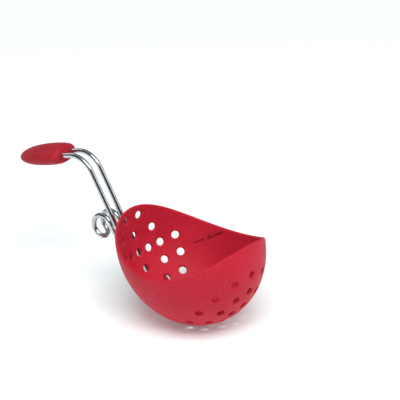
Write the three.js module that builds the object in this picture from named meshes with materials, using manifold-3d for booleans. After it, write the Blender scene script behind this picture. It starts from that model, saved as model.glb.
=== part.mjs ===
// Egg poacher: a perforated silicone pod carried on a bent double wire,
// with a pan rim clip welded under the wire and a silicone grip on its ends.
//
// Everything is laid out in the handle's own frame, centred on the pod: +Z runs up the straight
// wires, +X points away from them and Y runs across. One group then leans that frame back,
// so that in the part's frame the mouth of the pod is level and +X is the front.

import * as THREE from 'three';
import Module from 'manifold-3d';
import { mergeVertices } from 'three/addons/utils/BufferGeometryUtils.js';

const wasm = await Module();
wasm.setup();

// Driving dimensions, in millimetres and degrees
const podHalfDepth = 44;        // from the pod's centre towards the wires
const podHalfWidth = 40.3;
const podHalfLength = 48.3;      // along the straight wires
const podWall = 2.4;
const mouthRadius = 63;         // the mouth is a round scoop across the pod
const mouthDrop = 7.1;          // lowest point of the rim, below the pod's centre
const mouthTilt = 29.5;         // the mouth's direction, from the wires
const handleLean = 32.3;        // the straight wires, from the vertical

const holeDiameter = 4.6;
const frontRingCentre = 8;      // the front pattern's centre, ahead of the pod's centre
const frontRings = [            // rings of holes in the end that faces away from the handle
  { count: 1, along: 0, across: 0 },
  { count: 6, along: 10.3, across: 7 },
  { count: 10, along: 19.5, across: 15.5 },
  { count: 12, along: 27, across: 25 },
];
const backRows = [              // rows of holes in the wall behind the wires, at a height
  { height: 26, across: [5.8] },
  { height: 16, across: [0, 14] },
  { height: 5.5, across: [0, 8.3, 16.3, 24.8] },
  { height: -5, across: [0, 14.5, 23.9] },
  { height: -15.5, across: [9.3, 19.6] },
];

const wireDiameter = 3;
const wireSpacing = 7.8;        // centre to centre
const contactGap = 0.3;         // between pieces that touch
const restGap = 0.4;            // between the wires and the outside of the pod they lie on
const cornerHeight = 69.9;      // where the straight wires and the grip's axis would meet
const bendRadius = 14;
const bendAngle = 76.5;
const gripSetback = 17.4;       // from that corner to the grip's face
const wireEndAngle = 22;        // how far the closed end follows the pod, round its centre
const wireInGrip = 21;

const keeperLead = 1;           // degrees from the moulded keeper's middle to the closed end
const keeperMargin = 2.6;       // silicone round the closed end, seen from outside
const keeperCover = 1.6;        // silicone over the wire
const keeperCorner = 3;
const keeperBevel = 1.2;

const gripLength = 34;
const gripHalfWidth = 11;
const gripHalfThickness = 5.8;
const gripShoulder = 9;         // from the face to the widest section
const gripFaceInset = 0.6;      // the face is this much narrower on each side
const gripFaceRound = 3.6;
const gripTaper = 2.5;          // power of the taper towards the tip; higher is blunter

const clipDiameter = 3;
const clipRadius = 6.7;         // of the hook's centre line
const clipDrop = 42.6;          // the hook's centre, below the corner
const clipStub = 10;            // straight end welded along each wire
const clipSweep = 200;          // degrees of hook, up to the U-bend that joins its legs

// How finely curved surfaces are cut into flats
const wireSides = 12;
const wireStep = 1.9;           // along the wires, fine enough for their tightest bend
const eggSides = 40;
const eggRows = 26;
const mouthSides = 96;
const holeSides = 10;
const cornerSteps = 4;
const gripSides = 32;
const gripRows = 12;
const faceRoundSteps = 4;

// Values worked out from them
const wireRadius = wireDiameter / 2;
const clipRodRadius = clipDiameter / 2;
const halfSpacing = wireSpacing / 2;
const wireOffset = podHalfDepth + restGap + wireRadius;
const keeperSize = wireSpacing + wireDiameter + 2 * keeperMargin;
const radians = THREE.MathUtils.degToRad;

const silicone = new THREE.MeshStandardMaterial({ color: 0xc52d3e, roughness: 0.55, metalness: 0 });
const steel = new THREE.MeshStandardMaterial({ color: 0xc9cbce, roughness: 0.16, metalness: 1 });

// Solids: three.js geometry in and out, joined and cut by manifold-3d
function solid(geometry) {
  const bare = geometry.index ? geometry.toNonIndexed() : geometry.clone();
  bare.deleteAttribute('normal');
  bare.deleteAttribute('uv');
  const merged = mergeVertices(bare, 1e-4);
  return new wasm.Manifold(new wasm.Mesh({
    numProp: 3,
    vertProperties: new Float32Array(merged.attributes.position.array),
    triVerts: new Uint32Array(merged.index.array),
  }));
}

function geometryOf(manifold) {
  const mesh = manifold.getMesh();
  const geometry = new THREE.BufferGeometry();
  geometry.setAttribute('position', new THREE.BufferAttribute(mesh.vertProperties, 3));
  geometry.setIndex(new THREE.BufferAttribute(mesh.triVerts, 1));
  return geometry;
}

function piece(name, geometry, material) {
  const mesh = new THREE.Mesh(geometry, material);
  mesh.name = name;
  return mesh;
}

// A round arc in space: centre + u cos(angle) + v sin(angle)
class Arc3 extends THREE.Curve {
  constructor(centre, u, v, from, to) {
    super();
    Object.assign(this, { centre, u, v, from: radians(from), to: radians(to) });
  }

  getPoint(t, target = new THREE.Vector3()) {
    const angle = this.from + (this.to - this.from) * t;
    return target.copy(this.centre)
      .addScaledVector(this.u, Math.cos(angle))
      .addScaledVector(this.v, Math.sin(angle));
  }
}

const side = (x, z, y = 0) => new THREE.Vector3(x, y, z);

// A curve given at y = 0, moved across to another y and run forwards or backwards
class Leg extends THREE.Curve {
  constructor(curve, y, backwards = false) {
    super();
    Object.assign(this, { curve, y, backwards });
  }

  getPoint(t, target = new THREE.Vector3()) {
    return this.curve.getPoint(this.backwards ? 1 - t : t, target).setY(this.y);
  }
}

// Bends one leg into a hairpin: out along one side, round its closed end, back along the other
function hairpin(segments) {
  const last = segments[segments.length - 1];
  const path = new THREE.CurvePath();
  segments.forEach((curve) => path.add(new Leg(curve, -halfSpacing)));
  const across = side(0, 0, -halfSpacing);
  const onwards = last.getTangent(1).multiplyScalar(halfSpacing);
  path.add(new Arc3(last.getPoint(1), across, onwards, 0, 180));
  [...segments].reverse().forEach((curve) => path.add(new Leg(curve, halfSpacing, true)));
  return path;
}

function sweep(path, radius) {
  const section = new THREE.Shape();
  section.absarc(0, 0, radius, 0, 2 * Math.PI);
  return new THREE.ExtrudeGeometry(section, {
    extrudePath: path,
    steps: Math.round(path.getLength() / wireStep),
    curveSegments: wireSides / 2,
    bevelEnabled: false,
  });
}

// The handle's centre line, from inside the grip to the closed end under the pod
const gripDirection = side(-Math.sin(radians(bendAngle)), Math.cos(radians(bendAngle)));
const corner = side(-wireOffset, cornerHeight);
const bendSetback = bendRadius * Math.tan(radians(bendAngle) / 2);
const gripFace = corner.clone().addScaledVector(gripDirection, gripSetback);

// The last stretch of each leg follows the pod's outside; the closed end joins them across it
function cradle() {
  const underPod = podHalfLength + restGap + wireRadius;
  return new Arc3(side(0, 0), side(-wireOffset, 0), side(0, -underPod), 0, wireEndAngle);
}

function handlePath() {
  const start = gripFace.clone().addScaledVector(gripDirection, wireInGrip);
  const bendStart = corner.clone().addScaledVector(gripDirection, bendSetback);
  const bendCentre = side(-wireOffset - bendRadius, cornerHeight - bendSetback);
  const bend = new Arc3(bendCentre, side(bendRadius, 0), side(0, bendRadius), bendAngle, 0);
  const straight = new THREE.LineCurve3(bend.getPoint(1), side(-wireOffset, 0));
  return hairpin([new THREE.LineCurve3(start, bendStart), bend, straight, cradle()]);
}

function handleWire() {
  return piece('handle_wire', sweep(handlePath(), wireRadius), steel);
}

// The pan rim clip: a hairpin whose free ends lie under the wires and whose legs hook over
function panClip() {
  const stubOffset = -wireOffset - wireRadius - contactGap - clipRodRadius;
  const centre = side(stubOffset - clipRadius, cornerHeight - clipDrop);
  const hook = new Arc3(centre, side(clipRadius, 0), side(0, clipRadius), 0, clipSweep);
  const hookStart = hook.getPoint(0);
  const stubEnd = hookStart.clone().add(side(0, -clipStub));
  const path = hairpin([new THREE.LineCurve3(stubEnd, hookStart), hook]);
  return piece('pan_clip', sweep(path, clipRodRadius), steel);
}

// The pod: an egg-shaped shell, scooped open, with its holes and the keeper for the wire
function egg(inset) {
  const sphere = new THREE.SphereGeometry(1, eggSides, eggRows);
  sphere.rotateX(Math.PI / 2);
  sphere.scale(podHalfDepth - inset, podHalfWidth - inset, podHalfLength - inset);
  return solid(sphere);
}

function mouth() {
  const cylinder = new THREE.CylinderGeometry(mouthRadius, mouthRadius, 3 * podHalfWidth, mouthSides);
  const distance = mouthRadius - mouthDrop;
  const tilt = radians(mouthTilt);
  cylinder.translate(distance * Math.sin(tilt), 0, distance * Math.cos(tilt));
  return solid(cylinder);
}

function holePositions() {
  const semi = new THREE.Vector3(podHalfDepth, podHalfWidth, podHalfLength);
  const places = [];
  for (const ring of frontRings) {
    for (let k = 0; k < ring.count; k += 1) {
      const angle = (2 * Math.PI * k) / ring.count;
      const x = frontRingCentre + ring.along * Math.cos(angle);
      const y = ring.across * Math.sin(angle);
      places.push(side(x, -semi.z * Math.sqrt(1 - (x / semi.x) ** 2 - (y / semi.y) ** 2), y));
    }
  }
  for (const row of backRows) {
    for (const across of row.across) {
      for (const y of across ? [-across, across] : [0]) {
        const x = -semi.x * Math.sqrt(1 - (row.height / semi.z) ** 2 - (y / semi.y) ** 2);
        places.push(side(x, row.height, y));
      }
    }
  }
  return places;
}

function holes() {
  const up = new THREE.Vector3(0, 1, 0);
  const drills = holePositions().map((place) => {
    const normal = new THREE.Vector3(
      place.x / podHalfDepth ** 2,
      place.y / podHalfWidth ** 2,
      place.z / podHalfLength ** 2,
    ).normalize();
    const radius = holeDiameter / 2;
    const drill = new THREE.CylinderGeometry(radius, radius, 4 * podWall, holeSides);
    drill.applyQuaternion(new THREE.Quaternion().setFromUnitVectors(up, normal));
    drill.translate(place.x, place.y, place.z);
    return solid(drill);
  });
  return wasm.Manifold.union(drills);
}

// A rounded pad moulded onto the pod's outside, deep enough to bury the closed end of the wire
function keeper() {
  const outline = new THREE.Shape();
  const reach = keeperSize / 2 - keeperBevel - keeperCorner;
  outline.absarc(reach, reach, keeperCorner, 0, Math.PI / 2);
  outline.absarc(-reach, reach, keeperCorner, Math.PI / 2, Math.PI);
  outline.absarc(-reach, -reach, keeperCorner, Math.PI, 1.5 * Math.PI);
  outline.absarc(reach, -reach, keeperCorner, 1.5 * Math.PI, 2 * Math.PI);
  const rise = restGap + wireDiameter + keeperCover - keeperBevel;
  const pad = new THREE.ExtrudeGeometry(outline, {
    depth: rise + podWall,
    curveSegments: cornerSteps,
    bevelSize: keeperBevel,
    bevelThickness: keeperBevel,
    bevelSegments: 2,
  });
  pad.translate(0, 0, -podWall);
  const angle = radians(wireEndAngle - keeperLead);
  const foot = side(-podHalfDepth * Math.cos(angle), -podHalfLength * Math.sin(angle));
  const normal = side(foot.x / podHalfDepth ** 2, foot.z / podHalfLength ** 2).normalize();
  const across = new THREE.Vector3(0, 1, 0);
  const along = new THREE.Vector3().crossVectors(normal, across);
  pad.applyMatrix4(new THREE.Matrix4().makeBasis(across, along, normal).setPosition(foot));
  return solid(pad);
}

function pod() {
  const approach = new THREE.LineCurve3(side(-wireOffset, keeperSize), side(-wireOffset, 0));
  const channel = solid(sweep(hairpin([approach, cradle()]), wireRadius + contactGap));
  const shell = egg(0).add(keeper()).subtract(egg(podWall)).subtract(mouth());
  return piece('pod', geometryOf(shell.subtract(holes()).subtract(channel)), silicone);
}

// The grip: a flattened bullet with a blind bore for each end of the wire
function grip() {
  const taperLength = gripLength - gripShoulder;
  const faceRadius = gripHalfWidth - gripFaceInset;
  const profile = [new THREE.Vector2(0, 0), new THREE.Vector2(faceRadius - gripFaceRound, 0)];
  for (let k = 1; k <= faceRoundSteps; k += 1) {
    const angle = (k / faceRoundSteps) * (Math.PI / 2);
    profile.push(new THREE.Vector2(
      faceRadius - gripFaceRound * (1 - Math.sin(angle)),
      gripFaceRound * (1 - Math.cos(angle)),
    ));
  }
  for (let k = 0; k < gripRows; k += 1) {
    const t = Math.sin((k / gripRows) * (Math.PI / 2));
    profile.push(new THREE.Vector2(
      gripHalfWidth * (1 - t ** gripTaper) ** 0.5,
      gripShoulder + taperLength * t,
    ));
  }
  profile.push(new THREE.Vector2(0, gripLength));
  const body = new THREE.LatheGeometry(profile, gripSides);
  body.scale(1, 1, gripHalfThickness / gripHalfWidth);

  const boreRadius = wireRadius + contactGap;
  const boreLength = wireInGrip + contactGap;
  const bores = [-halfSpacing, halfSpacing].map((x) => {
    const bore = new THREE.CylinderGeometry(boreRadius, boreRadius, 2 * boreLength, wireSides);
    bore.translate(x, 0, 0);
    return solid(bore);
  });
  const geometry = geometryOf(solid(body).subtract(wasm.Manifold.union(bores)));
  const mesh = piece('grip', geometry, silicone);
  const across = new THREE.Vector3(0, 1, 0);
  const thickness = new THREE.Vector3().crossVectors(across, gripDirection);
  mesh.applyMatrix4(
    new THREE.Matrix4().makeBasis(across, gripDirection, thickness).setPosition(gripFace),
  );
  return mesh;
}

// Leans the handle's frame back and stands the pod's lowest point on the ground
const leaning = new THREE.Group();
leaning.add(pod(), handleWire(), panClip(), grip());
leaning.rotation.y = -radians(handleLean);

const group = new THREE.Group();
group.add(leaning);
const box = new THREE.Box3().setFromObject(group, true);
leaning.position.set(
  -(box.min.x + box.max.x) / 2,
  0,
  -box.min.z,
);

export default group;
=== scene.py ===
import math

import bmesh
import bpy
from mathutils import Matrix, Vector
from mathutils.kdtree import KDTree


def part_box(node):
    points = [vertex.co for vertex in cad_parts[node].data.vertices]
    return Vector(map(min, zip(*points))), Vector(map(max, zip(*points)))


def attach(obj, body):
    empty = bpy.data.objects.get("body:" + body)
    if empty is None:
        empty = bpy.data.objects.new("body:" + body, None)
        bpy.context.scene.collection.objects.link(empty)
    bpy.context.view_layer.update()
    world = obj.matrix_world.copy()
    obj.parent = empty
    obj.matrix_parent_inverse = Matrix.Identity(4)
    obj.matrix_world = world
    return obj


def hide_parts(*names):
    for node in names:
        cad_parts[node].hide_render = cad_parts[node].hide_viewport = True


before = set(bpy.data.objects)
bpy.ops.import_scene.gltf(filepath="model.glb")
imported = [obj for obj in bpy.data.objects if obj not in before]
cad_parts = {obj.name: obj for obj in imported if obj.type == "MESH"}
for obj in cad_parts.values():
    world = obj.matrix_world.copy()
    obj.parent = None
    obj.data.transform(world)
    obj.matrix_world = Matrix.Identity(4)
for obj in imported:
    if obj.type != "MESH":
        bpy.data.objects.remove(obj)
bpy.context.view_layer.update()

scene = bpy.context.scene


# Camera: well back, off the pod's end and one side, looking down at the mouth through a very long
# lens, which keeps its lines nearly parallel. The poacher stands left of the middle of the frame.
camera_distance = 5.0
camera_azimuth, camera_elevation = math.radians(39.1), math.radians(26.1)
frame_width = 0.2308        # seen across the frame at the poacher's distance
aim_right, aim_up = 0.0363, 0.0560
sensor_width = 36           # millimetres, as its lens is

to_right = Vector((math.cos(camera_azimuth), math.sin(camera_azimuth), 0))
to_camera = Vector((
    math.sin(camera_azimuth) * math.cos(camera_elevation),
    -math.cos(camera_azimuth) * math.cos(camera_elevation),
    math.sin(camera_elevation),
))
aim = aim_right * to_right + aim_up * to_camera.cross(to_right)

camera = bpy.data.objects.new("camera", bpy.data.cameras.new("camera"))
camera.data.sensor_width = sensor_width
camera.data.lens = sensor_width * camera_distance / frame_width
camera.data.clip_start, camera.data.clip_end = 0.1, 40
camera.location = aim + to_camera * camera_distance
camera.rotation_mode = "QUATERNION"
camera.rotation_quaternion = to_camera.to_track_quat("Z", "Y")
scene.collection.objects.link(camera)
scene.camera = camera


# Light: a wide soft box high in front, a tall narrow one at the right that draws the long
# highlights, a weaker one behind at the left, and a pale room round them.
def soft_box(name, place, width, height, watts):
    """A rectangular studio light that faces the poacher."""
    data = bpy.data.lights.new(name, "AREA")
    data.shape = "RECTANGLE"
    data.size, data.size_y, data.energy = width, height, watts
    box = bpy.data.objects.new(name, data)
    box.location = place
    box.rotation_mode = "QUATERNION"
    box.rotation_quaternion = Vector(place).to_track_quat("Z", "Y")
    scene.collection.objects.link(box)


to_left, to_front = -to_right, Vector((to_camera.x, to_camera.y, 0)).normalized()
upward = Vector((0, 0, 1))
room_colour, room_strength = (0.93, 0.95, 1, 1), 0.3
soft_box("overhead", 0.75 * to_front + 0.1 * to_right + 1.35 * upward, 1.1, 0.9, 22)
soft_box("right_box", 0.9 * to_right + 0.1 * to_front + 0.75 * upward, 0.35, 0.8, 2.5)
soft_box("left_box", 0.8 * to_left - 0.6 * to_front + 0.7 * upward, 0.4, 0.7, 1.5)
scene.world = bpy.data.worlds.new("pale_room")
scene.world.use_nodes = True
room = scene.world.node_tree.nodes["Background"]
room.inputs["Color"].default_value = room_colour
room.inputs["Strength"].default_value = room_strength
scene.view_settings.view_transform = "Standard"


# Floor: a wide sheet of matte white paper that the poacher stands on, with fine fibres. It glows a
# little, as if lit from below, which keeps its shadows light.
class Socket:
    """One output of a finish's nodes. Arithmetic on it adds Math nodes."""

    def __init__(self, finish, output):
        self.finish, self.output = finish, output

    def math(self, operation, *values):
        return self.finish.node("ShaderNodeMath", {"operation": operation}, dict(enumerate(values)))

    def __add__(self, other):
        return self.math("ADD", self, other)

    def __mul__(self, other):
        return self.math("MULTIPLY", self, other)

    __radd__ = __add__
    __rmul__ = __mul__


class Finish:
    """A procedural material. Even values sit on the shader's own sockets, varying ones are fed."""

    def __init__(self, name, even):
        self.material = bpy.data.materials.new(name)
        self.material.use_nodes = True
        self.tree = self.material.node_tree
        self.shader = self.tree.nodes["Principled BSDF"]
        for socket, value in even.items():
            self.shader.inputs[socket].default_value = value

    def node(self, kind, settings, inputs, output=0):
        made = self.tree.nodes.new(kind)
        for name, value in settings.items():
            setattr(made, name, value)
        for socket, value in inputs.items():
            if isinstance(value, Socket):
                self.tree.links.new(value.output, made.inputs[socket])
            else:
                made.inputs[socket].default_value = value
        return Socket(self, made.outputs[output])

    def place(self):
        """The surface's own place, in metres."""
        return self.node("ShaderNodeTexCoord", {}, {}, "Object")

    def noise(self, vector, scale, detail=2.0, roughness=0.5):
        return self.node("ShaderNodeTexNoise", {}, {
            "Vector": vector, "Scale": scale, "Detail": detail, "Roughness": roughness,
        })

    def step(self, value, low, high, at_low=0.0, at_high=1.0):
        """Runs smoothly from at_low to at_high as value runs from low to high."""
        return self.node("ShaderNodeMapRange", {"interpolation_type": "SMOOTHSTEP"}, {
            "Value": value, "From Min": low, "From Max": high, "To Min": at_low, "To Max": at_high,
        })

    def mix(self, share, first, second):
        """The first colour, turned by share into the second."""
        return self.node("ShaderNodeMix", {"data_type": "RGBA"}, {0: share, 6: first, 7: second}, 2)

    def bump(self, height, depth):
        return self.node("ShaderNodeBump", {}, {
            "Height": height, "Distance": depth, "Strength": 1.0,
        })

    def feed(self, socket, value):
        self.tree.links.new(value.output, self.shader.inputs[socket])


floor_half, floor_quads = 4.0, 8
paper_glow = 0.15
fibre_scale, fibre_depth = 900, 0.00002
paper_shade, paper_white = (0.87, 0.94, 0.94, 1), (0.90, 0.97, 0.97, 1)
paper = Finish("white_paper", {"Specular IOR Level": 0.2, "Emission Strength": paper_glow})
paper.shader.inputs["Emission Color"].default_value = (1, 1, 1, 1)
fibres = paper.noise(paper.place(), fibre_scale, 4)
paper.feed("Base Color", paper.mix(fibres, paper_shade, paper_white))
paper.feed("Roughness", paper.step(fibres, 0.3, 0.7, 0.75, 0.9))
paper.feed("Normal", paper.bump(fibres, fibre_depth))

bm = bmesh.new()
bmesh.ops.create_grid(bm, x_segments=floor_quads, y_segments=floor_quads, size=floor_half)
floor_mesh = bpy.data.meshes.new("floor")
bm.to_mesh(floor_mesh)
bm.free()
floor_mesh.materials.append(paper.material)
floor = bpy.data.objects.new("floor", floor_mesh)
scene.collection.objects.link(floor)


# Dark cards: black boards that stand round the set, as they do when polished metal is lit. They
# show only in reflections, where they draw the dark lines along the wires.
def dark_card(name, middle, width, height):
    """A black board that faces the poacher and is seen by reflected rays only."""
    bm = bmesh.new()
    bmesh.ops.create_grid(bm, x_segments=1, y_segments=1, size=0.5)
    bmesh.ops.scale(bm, vec=(width, height, 1), verts=bm.verts[:])
    turned = Matrix.Translation(middle) @ middle.to_track_quat("Z", "Y").to_matrix().to_4x4()
    bmesh.ops.transform(bm, matrix=turned, verts=bm.verts[:])
    mesh = bpy.data.meshes.new(name)
    bm.to_mesh(mesh)
    bm.free()
    mesh.materials.append(black_board.material)
    card = bpy.data.objects.new(name, mesh)
    card.visible_camera = card.visible_shadow = False
    card.visible_diffuse = card.visible_transmission = False
    scene.collection.objects.link(card)


black_board = Finish("black_board", {"Base Color": (0.006, 0.006, 0.007, 1), "Roughness": 1.0})
dark_card("left_card", 0.45 * to_left + 0.15 * to_front + 0.16 * upward, 0.6, 0.44)
dark_card("front_card", 0.5 * to_front + 0.1 * to_right + 0.14 * upward, 0.8, 0.34)


# Pod: an egg-shaped cup of red silicone, moulded in one with its scooped mouth and drain holes,
# matte and a little translucent. It is modelled in millimetres in the handle's frame: centred on
# the pod, with +Z up the straight wires, +X away from them and Y across.
pod_half_depth, pod_half_width, pod_half_length = 44, 40.3, 48.3
pod_wall = 2.4
mouth_radius = 63
mouth_drop = 7.1
mouth_tilt = math.radians(29.5)
handle_lean = math.radians(32.3)
hole_radius = 2.3
end_ring_centre = 8         # of the rings of holes in the pod's end, away from the wires
end_rings = ((1, 0, 0), (6, 10.3, 7), (10, 19.5, 15.5), (12, 27, 25))     # count, along, across
back_rows = (                                                             # height, places across
    (26, (5.8,)),
    (16, (0, 14)),
    (5.5, (0, 8.3, 16.3, 24.8)),
    (-5, (0, 14.5, 23.9)),
    (-15.5, (9.3, 19.6)),
)
cup_grid = 46               # quads along each edge of the cube that is blown up into the cup
cube_top = 0.999            # a face whose middle is above this is on the top, which is taken off
lowest_rim = 0.3 * math.pi  # from the cup's bottom: the rim lies above this all round
rim_halvings = 30
relaxing_turns, relaxing_pull = 14, 0.5
rim_wall, rim_taper = 1.5, 9    # the wall thins towards the rim, over that depth below it
taper_curve = 0.8
hole_edge_round, rim_edge_round = 0.5, 0.55
sharp_edge = math.radians(50)
rim_band = 1.2              # an edge this close to the scoop belongs to the rim

pod_low, pod_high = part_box("pod")
millimetre = 0.001
pod_centre = Vector((
    pod_high.x - millimetre * math.hypot(
        pod_half_depth * math.cos(handle_lean), pod_half_length * math.sin(handle_lean)),
    0,
    pod_low.z + millimetre * math.hypot(
        pod_half_depth * math.sin(handle_lean), pod_half_length * math.cos(handle_lean)),
))
handle_frame = (
    Matrix.Translation(pod_centre)
    @ Matrix.Rotation(-handle_lean, 4, "Y")
    @ Matrix.Scale(millimetre, 4)
)
mouth_centre = (mouth_radius - mouth_drop) * Vector((math.sin(mouth_tilt), 0, math.cos(mouth_tilt)))


def on_egg(direction, inset=0.0):
    """The egg's surface, or one inset below it, on that line from the middle of its unit sphere."""
    unit = direction.normalized()
    return Vector((
        unit.x * (pod_half_depth - inset),
        unit.y * (pod_half_width - inset),
        unit.z * (pod_half_length - inset),
    ))


def egg_direction(place):
    return Vector((place.x / pod_half_depth, place.y / pod_half_width, place.z / pod_half_length))


def egg_normal(place):
    return Vector((
        place.x / pod_half_depth ** 2,
        place.y / pod_half_width ** 2,
        place.z / pod_half_length ** 2,
    )).normalized()


def cup_direction(azimuth, polar):
    """A direction on the unit sphere, by its angle round the mouth and from the cup's bottom."""
    level = Vector((
        math.sin(polar) * math.cos(azimuth),
        math.sin(polar) * math.sin(azimuth),
        -math.cos(polar),
    ))
    return Matrix.Rotation(mouth_tilt, 3, "Y") @ level


def rim_polar(azimuth):
    """How far from the cup's bottom the scoop of the mouth cuts the egg, by halving."""
    outside, inside = lowest_rim, math.pi
    for _ in range(rim_halvings):
        middle = (outside + inside) / 2
        place = on_egg(cup_direction(azimuth, middle))
        if math.hypot(place.x - mouth_centre.x, place.z - mouth_centre.z) < mouth_radius:
            inside = middle
        else:
            outside = middle
    return middle


def hole_centres():
    """The drain holes' places on the egg: rings in the pod's end, then rows behind."""
    for count, along, across in end_rings:
        for k in range(count):
            angle = 2 * math.pi * k / count
            x = end_ring_centre + along * math.cos(angle)
            y = across * math.sin(angle)
            drop = math.sqrt(1 - (x / pod_half_depth) ** 2 - (y / pod_half_width) ** 2)
            yield Vector((x, y, -pod_half_length * drop))
    for height, places in back_rows:
        for y in sorted({s * across for across in places for s in (-1, 1)}):
            depth = math.sqrt(1 - (height / pod_half_length) ** 2 - (y / pod_half_width) ** 2)
            yield Vector((-pod_half_depth * depth, y, height))


def blow_up_cup(bm):
    """A cube without its top, blown up to the egg and drawn up to the mouth's rim."""
    bmesh.ops.create_cube(bm, size=2)
    bmesh.ops.subdivide_edges(bm, edges=bm.edges[:], cuts=cup_grid - 1, use_grid_fill=True)
    top = [f for f in bm.faces if f.calc_center_median().z > cube_top]
    bmesh.ops.delete(bm, geom=top, context="FACES")
    rims = {}
    for vertex in bm.verts:
        spread = Vector(math.tan(c * math.pi / 4) for c in vertex.co)
        azimuth = math.atan2(spread.y, spread.x)
        polar = math.pi - math.atan2(math.hypot(spread.x, spread.y), spread.z)
        top_polar = math.pi - math.atan(1 / max(abs(math.cos(azimuth)), abs(math.sin(azimuth))))
        key = round(azimuth, 6)
        if key not in rims:
            rims[key] = rim_polar(azimuth)
        vertex.co = on_egg(cup_direction(azimuth, polar * rims[key] / top_polar))


def cut_hole(bm, centre, near):
    """Takes out the block of quads round centre and draws its edge into a circle."""
    around = {v for f in near.link_faces for v in f.verts}
    taken = {f for v in around for f in v.link_faces}
    edges = {e for f in taken for e in f.edges if sum(g in taken for g in e.link_faces) == 1}
    first = min(edges, key=lambda e: e.index)
    loop, vertex = [first.verts[0]], first.verts[1]
    left = edges - {first}
    while left:
        loop.append(vertex)
        edge = next(e for e in left if vertex in e.verts)
        left.remove(edge)
        vertex = edge.other_vert(vertex)
    normal = egg_normal(centre)
    one_way = normal.orthogonal().normalized()
    other_way = normal.cross(one_way)
    arms = [v.co - centre for v in loop]
    angles = [math.atan2(arm.dot(other_way), arm.dot(one_way)) for arm in arms]
    turn = 2 * math.pi / len(loop)
    if math.sin(angles[1] - angles[0]) < 0:
        turn = -turn
    offsets = [a - k * turn for k, a in enumerate(angles)]
    start = math.atan2(sum(map(math.sin, offsets)), sum(map(math.cos, offsets)))
    bmesh.ops.delete(bm, geom=list(taken), context="FACES")
    for k, v in enumerate(loop):
        angle = start + k * turn
        out_from_centre = math.cos(angle) * one_way + math.sin(angle) * other_way
        v.co = on_egg(egg_direction(centre + hole_radius * out_from_centre))


bm = bmesh.new()
blow_up_cup(bm)
centres = list(hole_centres())
tree = KDTree(len(bm.verts))
bm.verts.ensure_lookup_table()
for vertex in bm.verts:
    tree.insert(vertex.co, vertex.index)
tree.balance()
bm.edges.index_update()
nearest = [bm.verts[tree.find(centre)[1]] for centre in centres]
for centre, near in zip(centres, nearest):
    cut_hole(bm, centre, near)
loose = [v for v in bm.verts if not v.is_boundary]
for _ in range(relaxing_turns):
    bmesh.ops.smooth_vert(bm, verts=loose, factor=relaxing_pull,
                          use_axis_x=True, use_axis_y=True, use_axis_z=True)
    for vertex in loose:
        vertex.co = on_egg(egg_direction(vertex.co))


def below_rim(place):
    """How far a place lies below the scoop that cuts the mouth."""
    return math.hypot(place.x - mouth_centre.x, place.z - mouth_centre.z) - mouth_radius


outside = set(bm.verts)
bmesh.ops.solidify(bm, geom=bm.faces[:], thickness=pod_wall)
for vertex in bm.verts:
    if vertex not in outside:
        share = min(max(below_rim(vertex.co) / rim_taper, 0), 1) ** taper_curve
        thin = on_egg(egg_direction(vertex.co), rim_wall)
        vertex.co = thin.lerp(vertex.co, share)
corners = [e for e in bm.edges if e.calc_face_angle(0) > sharp_edge]


def by_rim(edge):
    return below_rim((edge.verts[0].co + edge.verts[1].co) / 2) < rim_band


for edges, rounding in (
    ([e for e in corners if by_rim(e)], rim_edge_round),
    ([e for e in corners if not by_rim(e)], hole_edge_round),
):
    bmesh.ops.bevel(bm, geom=edges, offset=rounding, offset_type="OFFSET", affect="EDGES",
                    segments=1, profile=0.5, material=-1)


dust_pink = (0.86, 0.55, 0.55, 1)
grain_depth = 0.00004


def silicone(name, colour, shade, pale):
    """Matte moulded silicone: a fine grain from the mould, faint clouds, dust and paler, rubbed
    patches."""
    finish = Finish(name, {
        "IOR": 1.41, "Specular IOR Level": 0.2, "Subsurface Weight": 0.25,
        "Subsurface Radius": (1.0, 0.22, 0.2), "Subsurface Scale": 0.004,
        "Sheen Weight": 0.02, "Sheen Roughness": 0.45,
    })
    place = finish.place()
    clouds = finish.noise(place, 38, 3)
    grain = finish.noise(place, 4200, 2, 0.6)
    pits = finish.noise(place, 1500, 3, 0.65)
    smears = finish.noise(place, 130, 4, 0.62)
    dust = finish.step(finish.noise(place, 2600, 1), 0.72, 0.76)
    tone = finish.mix(finish.step(clouds, 0.3, 0.7), shade, colour)
    tone = finish.mix(finish.step(smears, 0.52, 0.78, 0, 0.22), tone, pale)
    finish.feed("Base Color", finish.mix(dust * 0.35, tone, dust_pink))
    finish.feed("Roughness", finish.step(smears, 0.25, 0.75, 0.46, 0.6) + grain * 0.06)
    finish.feed("Normal", finish.bump(grain * 0.6 + pits * 0.4, grain_depth))
    return finish.material


red = (0.51, 0.015, 0.037, 1)
deep_red = (0.465, 0.012, 0.031, 1)
pale_red = (0.545, 0.027, 0.052, 1)
pod_silicone = silicone("pod_silicone", red, deep_red, pale_red)


def as_piece(name, bm, material):
    """Lays a mesh of the handle's frame in the part's frame and makes it a piece."""
    bmesh.ops.transform(bm, matrix=handle_frame, verts=bm.verts[:])
    mesh = bpy.data.meshes.new(name)
    bm.to_mesh(mesh)
    bm.free()
    mesh.shade_smooth()
    mesh.materials.append(material)
    piece = bpy.data.objects.new(name, mesh)
    scene.collection.objects.link(piece)
    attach(piece, "root")
    return piece


cup = as_piece("pod_cup", bm, pod_silicone)
smooth = cup.modifiers.new("rounded", "SUBSURF")
smooth.levels = smooth.render_levels = 1
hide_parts("pod")


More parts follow.
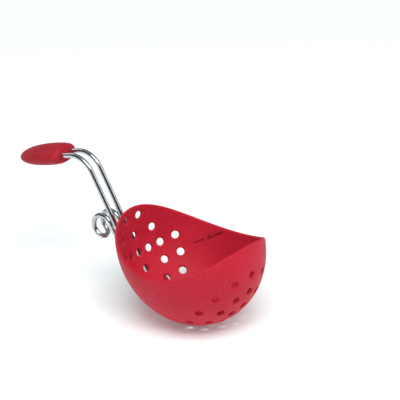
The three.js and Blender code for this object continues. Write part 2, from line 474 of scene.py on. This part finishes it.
# Fill mark: a dash, a small triangle and another dash on the inside of each long wall, moulded
# slightly proud in the same silicone, to show how far to fill the cup. It is painted a darker red:
# painted shade, for the shade that falls round the raised marks.
mark_proud, mark_sunk = 0.35, 0.5
mark_width, mark_edge_round = 0.9, 0.16
mark_height = -3.5                                # along the wires, from the pod's centre
dashes = ((24.0, 6.0), (12.6, 5.2))               # middle, towards the handle, and length
triangle_middle, triangle_radius = 18, 2.2
mark_slope = 0.03
mark_cuts, long_edge = 8, 2                       # a long edge is cut, to follow the wall
# painted shade: the marks' reds are darker than the pod's, for the shade round the raised marks
mark_red_painted_shade, mark_deep_red_painted_shade = (0.33, 0.011, 0.024, 1), (0.28, 0.009, 0.02, 1)
mark_pale_red_painted_shade = (0.38, 0.014, 0.03, 1)

inner_half = Vector((
    pod_half_depth - pod_wall, pod_half_width - pod_wall, pod_half_length - pod_wall,
))
bm = bmesh.new()
for middle, length in dashes:
    made = bmesh.ops.create_cube(bm, size=1)["verts"]
    bmesh.ops.scale(bm, vec=(length, mark_width, mark_proud + mark_sunk), verts=made)
    bmesh.ops.translate(bm, vec=(middle, 0, (mark_proud - mark_sunk) / 2), verts=made)
made = bmesh.ops.create_cone(bm, cap_ends=True, segments=3, radius1=triangle_radius,
                             radius2=triangle_radius, depth=mark_proud + mark_sunk)["verts"]
bmesh.ops.translate(bm, vec=(triangle_middle, 0, (mark_proud - mark_sunk) / 2), verts=made)
bmesh.ops.bevel(bm, geom=bm.edges[:], offset=mark_edge_round, offset_type="OFFSET",
                affect="EDGES", segments=2, profile=0.5, material=-1)
along_wall = [e for e in bm.edges if abs(e.verts[0].co.x - e.verts[1].co.x) > long_edge]
bmesh.ops.subdivide_edges(bm, edges=along_wall, cuts=mark_cuts, use_grid_fill=True)
for vertex in bm.verts:
    x, z = -vertex.co.x, mark_height + vertex.co.y + mark_slope * (vertex.co.x - triangle_middle)
    y = inner_half.y * math.sqrt(1 - (x / inner_half.x) ** 2 - (z / inner_half.z) ** 2)
    vertex.co = Vector((x, y, z)) - egg_normal(Vector((x, y, z))) * vertex.co.z
copied = bmesh.ops.duplicate(bm, geom=bm.verts[:] + bm.edges[:] + bm.faces[:])["geom"]
other_side = [v for v in copied if isinstance(v, bmesh.types.BMVert)]
bmesh.ops.scale(bm, vec=(1, -1, 1), verts=other_side)
bmesh.ops.recalc_face_normals(bm, faces=bm.faces[:])
# the marks' material carries that painted shade in its darker reds
mark_silicone_painted_shade = silicone("mark_silicone_painted_shade", mark_red_painted_shade, mark_deep_red_painted_shade, mark_pale_red_painted_shade)
marks = as_piece("pod_fill_marks", bm, mark_silicone_painted_shade)
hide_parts("pod")


# Keeper: a rounded pad moulded on the outside of the pod, flared where it grows out of the wall,
# that buries the closed end of the wire. A soft lip seals each leg of the wire where it goes in.
wire_radius = 1.5
half_spacing = 3.9                                # between the legs' centre lines, halved
rest_gap = 0.4
wire_offset = pod_half_depth + rest_gap + wire_radius
cradle_radius = 53.9                              # of the arc that the legs follow under the pod
keeper_half = 8.0
keeper_middle = math.radians(21)                  # round the pod's centre, from level with it
keeper_rise = 5.0
keeper_squareness = 0.5
keeper_rings = (                                  # height over the wall, and growth of the outline
    (-1.2, 1.9), (0.0, 1.35), (0.2, 0.85), (0.6, 0.4), (1.2, 0.12), (2.2, 0.0),
    (3.7, 0.0), (4.2, -0.1), (4.6, -0.45), (4.85, -0.95), (4.97, -1.8), (5.05, -4.0),
)
keeper_sides = 64
lip_place = math.radians(10.2)                    # round the arc, from where the straight wires end
lip_thickness, lip_standoff = 0.4, 0.3            # its round section's radius, and the share of it
                                                  # that its middle stands off the wire
lip_sides, lip_steps = 16, 36

foot = Vector((
    -pod_half_depth * math.cos(keeper_middle), 0, -pod_half_length * math.sin(keeper_middle),
))
outwards = egg_normal(foot)
pad_axes = Matrix(((0, 1, 0), outwards.cross(Vector((0, 1, 0))), outwards)).transposed().to_4x4()
pad_frame = Matrix.Translation(foot) @ pad_axes


def wall_drop(place):
    """How far the pod's outside has curved away under a place on the pad."""
    level = pad_frame @ Vector((place.x, place.y, 0))
    return (on_egg(egg_direction(level)) - level).dot(outwards)


def next_ring(bm, ring):
    """Extrudes a ring of edges, and gives the new ring's vertices and edges."""
    made = bmesh.ops.extrude_edge_only(bm, edges=ring)["geom"]
    verts = {v for v in made if isinstance(v, bmesh.types.BMVert)}
    edges = [e for e in made if isinstance(e, bmesh.types.BMEdge)]
    return list(verts), [e for e in edges if set(e.verts) <= verts]


def rounded_square(place):
    """Moves a place on the unit circle out to a square with rounded corners."""
    return Vector([math.copysign(abs(c) ** keeper_squareness, c) for c in place])


bm = bmesh.new()
made = bmesh.ops.create_circle(bm, segments=keeper_sides, radius=1)["verts"]
for vertex in made:
    vertex.co.xy = rounded_square(vertex.co.xy)
ring, size = bm.edges[:], 1.0
for k, (height, growth) in enumerate(keeper_rings):
    if k > 0:
        made, ring = next_ring(bm, ring)
    share = 1 - max(height, 0) / keeper_rise
    for vertex in made:
        vertex.co.xy = vertex.co.xy * (keeper_half + growth) / size
        vertex.co.z = height + wall_drop(vertex.co) * max(share, 0)
    size = keeper_half + growth
bmesh.ops.holes_fill(bm, edges=bm.edges[:], sides=0)
bmesh.ops.poke(bm, faces=[f for f in bm.faces if len(f.verts) > 4])
bmesh.ops.transform(bm, matrix=pad_frame, verts=bm.verts[:])


def add_lip(bm, place, heading):
    """A soft rounded ring of silicone round a wire that comes through a wall."""
    across = Vector((0, 1, 0))
    middle = place + across * (wire_radius + lip_standoff * lip_thickness)
    section = Matrix.Translation(middle) @ Matrix(
        (across, heading, across.cross(heading))).transposed().to_4x4()
    made = bmesh.ops.create_circle(
        bm, segments=lip_sides, radius=lip_thickness, matrix=section)["verts"]
    geom = made + list({e for v in made for e in v.link_edges})
    bmesh.ops.spin(bm, geom=geom, cent=place, axis=heading, angle=2 * math.pi,
                   steps=lip_steps, use_merge=True)


for side in (-1, 1):
    lip_heading = Vector((math.sin(lip_place), 0, -math.cos(lip_place)))
    lip_centre = Vector((
        cradle_radius - wire_offset - cradle_radius * math.cos(lip_place),
        side * half_spacing,
        -cradle_radius * math.sin(lip_place),
    ))
    add_lip(bm, lip_centre, lip_heading)
bmesh.ops.recalc_face_normals(bm, faces=bm.faces[:])
keeper = as_piece("pod_keeper", bm, pod_silicone)
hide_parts("pod")


# Handle wire: one length of 3 mm polished stainless wire, drawn round and bent back on itself. Its
# closed end lies under the pod in the keeper, and its two ends are pushed into the grip.
corner_height = 69.9
bend_radius = 14
bend_angle = math.radians(76.5)
grip_setback = 17.4
wire_in_grip = 21
cradle_angle = math.radians(20.4)
bend_steps, cradle_steps, turn_steps = 20, 10, 20
wire_end_round, wire_end_segments = 0.5, 3

bend_setback = bend_radius * math.tan(bend_angle / 2)
grip_direction = Vector((-math.sin(bend_angle), 0, math.cos(bend_angle)))
wire_corner = Vector((-wire_offset, 0, corner_height))
grip_face = wire_corner + grip_direction * grip_setback


class DrawnWire:
    """Round wire, pulled straight or bent step by step from where it starts."""

    sides = 24

    def __init__(self, radius, start, heading):
        self.bm = bmesh.new()
        self.drawn = self.bm.verts.layers.float_vector.new("drawn")
        turned = Matrix.Translation(start) @ heading.to_track_quat("Z", "Y").to_matrix().to_4x4()
        made = bmesh.ops.create_circle(
            self.bm, cap_ends=True, segments=self.sides, radius=radius, matrix=turned)
        self.ring = self.bm.edges[:]
        self.at, self.heading, self.length = start.copy(), heading.normalized(), 0.0
        for k, vertex in enumerate(made["verts"]):
            angle = 2 * math.pi * k / self.sides
            vertex[self.drawn] = (math.cos(angle), math.sin(angle), 0)

    def step(self, matrix, length):
        verts, self.ring = next_ring(self.bm, self.ring)
        bmesh.ops.transform(self.bm, matrix=matrix, verts=verts)
        self.at = matrix @ self.at
        self.heading = matrix.to_3x3() @ self.heading
        self.length += length
        for vertex in verts:
            vertex[self.drawn].z = self.length

    def pull(self, length):
        self.step(Matrix.Translation(self.heading * length), length)

    def bend(self, towards, radius, angle, steps):
        """Bends the wire by angle, round a centre that lies radius away in that direction."""
        centre = self.at + towards * radius
        axis = self.heading.cross(towards)
        turn = (Matrix.Translation(centre) @ Matrix.Rotation(angle / steps, 4, axis)
                @ Matrix.Translation(-centre))
        for _ in range(steps):
            self.step(turn, radius * angle / steps)

    def finished(self, end_round):
        """Closes the far end, rounds both ends off and hands over the mesh."""
        bmesh.ops.contextual_create(self.bm, geom=self.ring)
        caps = {e for f in self.bm.faces if len(f.verts) > 4 for e in f.edges}
        bmesh.ops.bevel(self.bm, geom=list(caps), offset=end_round, offset_type="OFFSET",
                        affect="EDGES", segments=wire_end_segments, profile=0.5, material=-1)
        bmesh.ops.recalc_face_normals(self.bm, faces=self.bm.faces[:])
        return self.bm


across_pod = Vector((0, 1, 0))
wire_start = grip_face + grip_direction * wire_in_grip - across_pod * half_spacing
wire = DrawnWire(wire_radius, wire_start, -grip_direction)
wire.pull(wire_in_grip + grip_setback - bend_setback)
wire.bend(across_pod.cross(wire.heading), bend_radius, bend_angle, bend_steps)
wire.pull(corner_height - bend_setback)
wire.bend(wire.heading.cross(across_pod), cradle_radius, cradle_angle, cradle_steps)
wire.bend(across_pod, half_spacing, math.pi, turn_steps)
wire.bend(across_pod.cross(wire.heading), cradle_radius, cradle_angle, cradle_steps)
wire.pull(corner_height - bend_setback)
wire.bend(wire.heading.cross(across_pod), bend_radius, bend_angle, bend_steps)
wire.pull(wire_in_grip + grip_setback - bend_setback)


steel, steel_line = (0.56, 0.57, 0.59, 1), (0.40, 0.40, 0.41, 1)
line_depth = 0.000006


def polished_steel(name, smoothest, roughest, smudge):
    """Stainless wire, polished but drawn: fine lines along it, faint smudges, a little wear."""
    finish = Finish(name, {"Metallic": 1.0, "Specular IOR Level": 0.5, "Anisotropic": 0.25})
    drawn = finish.node("ShaderNodeAttribute", {"attribute_name": "drawn"}, {}, "Vector")
    lengthwise = finish.node("ShaderNodeVectorMath", {"operation": "MULTIPLY"}, {
        0: drawn, 1: (9.0, 9.0, 0.12),
    })
    lines = finish.noise(lengthwise, 2.2, 3, 0.6)
    smudges = finish.noise(finish.place(), 160, 4, 0.6)
    spots = finish.step(finish.noise(finish.place(), 1100, 2), 0.7, 0.78)
    tone = finish.mix(finish.step(smudges, 0.35, 0.7), steel, smudge)
    finish.feed("Base Color", finish.mix(lines * 0.25, tone, steel_line))
    even = finish.step(smudges, 0.3, 0.75, smoothest, roughest)
    finish.feed("Roughness", even + spots * 0.12 + lines * 0.05)
    finish.feed("Normal", finish.bump(lines, line_depth))
    return finish.material


handle_steel = polished_steel("handle_steel", 0.07, 0.17, (0.50, 0.51, 0.53, 1))
handle = as_piece(
    "handle_wire_bent", wire.finished(wire_end_round), handle_steel)
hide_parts("handle_wire")


# Pan rim clip: a hairpin of the same wire. Its two free ends lie along the handle wires and are
# spot welded to them, and its legs hook over the rim of the pan.
clip_radius = 6.7
clip_drop = 42.6
clip_stub = 10
clip_sweep = math.radians(200)
clip_wire_radius = 1.5
weld_gap = 0.3
sweep_steps = 36
clip_end_round = 0.6

stub_offset = -wire_offset - wire_radius - weld_gap - clip_wire_radius
stub_start = Vector((stub_offset, -half_spacing, corner_height - clip_drop - clip_stub))
clip = DrawnWire(clip_wire_radius, stub_start, Vector((0, 0, 1)))
clip.pull(clip_stub)
clip.bend(clip.heading.cross(across_pod), clip_radius, clip_sweep, sweep_steps)
clip.bend(across_pod, half_spacing, math.pi, turn_steps)
clip.bend(across_pod.cross(clip.heading), clip_radius, clip_sweep, sweep_steps)
clip.pull(clip_stub)
clip_steel = polished_steel("clip_steel", 0.09, 0.2, (0.44, 0.45, 0.47, 1))
hook = as_piece("pan_rim_clip", clip.finished(clip_end_round), clip_steel)
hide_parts("pan_clip")


# Welds: two small beads on each side, where the clip's free ends are spot welded to the handle
# wires. They are left as welded, duller than the wire and faintly straw coloured.
bead_half = Vector((1.05, 1.15, 1.7))
bead_heights = (2.4, 7.4)                         # up the stub
bead_ripple, bead_ripples = 0.07, 3.2
bead_straw, bead_grey = (0.62, 0.56, 0.46, 1), (0.70, 0.70, 0.71, 1)
mottle_scale, mottle_depth = 900, 0.00003

bm = bmesh.new()
for side in (-1, 1):
    for height in bead_heights:
        made = bmesh.ops.create_uvsphere(bm, u_segments=24, v_segments=20, radius=1)["verts"]
        for vertex in made:
            swell = 1 + bead_ripple * math.cos(bead_ripples * math.pi * vertex.co.z)
            vertex.co = Vector((
                vertex.co.x * bead_half.x * swell,
                vertex.co.y * bead_half.y * swell,
                vertex.co.z * bead_half.z,
            ))
        between = (stub_offset - wire_offset) / 2
        bead_place = Vector((between, side * half_spacing, stub_start.z + height))
        bmesh.ops.translate(bm, vec=bead_place, verts=made)
weld_steel = Finish("weld_steel", {"Metallic": 1.0})
mottle = weld_steel.noise(weld_steel.place(), mottle_scale, 4, 0.6)
weld_steel.feed("Base Color", weld_steel.mix(mottle, bead_straw, bead_grey))
weld_steel.feed("Roughness", weld_steel.step(mottle, 0.3, 0.7, 0.28, 0.45))
weld_steel.feed("Normal", weld_steel.bump(mottle, mottle_depth))
welds = as_piece("clip_welds", bm, weld_steel.material)
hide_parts("pan_clip")


# Grip: a flattened bullet of silicone in a slightly deeper red, pushed over the ends of the wire.
# Its bores are left out here: the wires run into it through two soft lips.
grip_length = 34
grip_half_width, grip_half_thickness = 11, 5.8
grip_shoulder = 9
grip_face_inset, grip_face_round = 0.6, 3.6
grip_taper = 2.5
grip_sides, grip_rows, face_round_rows = 72, 36, 10
side_swell, swell_place = 0.6, 0.55               # shares of the face's inset and of the shoulder
merge_distance = 0.001
grip_red, grip_deep_red = (0.39, 0.013, 0.027, 1), (0.36, 0.011, 0.023, 1)
grip_pale_red = (0.42, 0.022, 0.038, 1)

bm = bmesh.new()
face_radius = grip_half_width - grip_face_inset
flat_radius = face_radius - grip_face_round
profile = [(0, 0), (flat_radius / 3, 0), (2 * flat_radius / 3, 0), (flat_radius, 0)]
for k in range(1, face_round_rows + 1):
    angle = k / face_round_rows * math.pi / 2
    profile.append((
        face_radius - grip_face_round * (1 - math.sin(angle)),
        grip_face_round * (1 - math.cos(angle)),
    ))
profile.append((face_radius + side_swell * grip_face_inset, swell_place * grip_shoulder))
for k in range(grip_rows):
    t = math.sin(k / grip_rows * math.pi / 2)
    profile.append((
        grip_half_width * math.sqrt(1 - t ** grip_taper),
        grip_shoulder + (grip_length - grip_shoulder) * t,
    ))
profile.append((0, grip_length))
points = [bm.verts.new((radius, 0, along)) for radius, along in profile]
edges = [bm.edges.new(pair) for pair in zip(points, points[1:])]
bmesh.ops.spin(bm, geom=points + edges, cent=(0, 0, 0), axis=(0, 0, 1), angle=2 * math.pi,
               steps=grip_sides, use_merge=True)
bmesh.ops.remove_doubles(bm, verts=bm.verts[:], dist=merge_distance)
bmesh.ops.scale(bm, vec=(1, grip_half_thickness / grip_half_width, 1), verts=bm.verts[:])
thickness_way = grip_direction.cross(across_pod)
grip_axes = Matrix((across_pod, thickness_way, grip_direction)).transposed().to_4x4()
bmesh.ops.transform(bm, matrix=Matrix.Translation(grip_face) @ grip_axes, verts=bm.verts[:])
for side in (-1, 1):
    add_lip(bm, grip_face + side * half_spacing * across_pod, grip_direction)
bmesh.ops.recalc_face_normals(bm, faces=bm.faces[:])
grip_silicone = silicone("grip_silicone", grip_red, grip_deep_red, grip_pale_red)
grip = as_piece("grip_bullet", bm, grip_silicone)
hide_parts("grip")
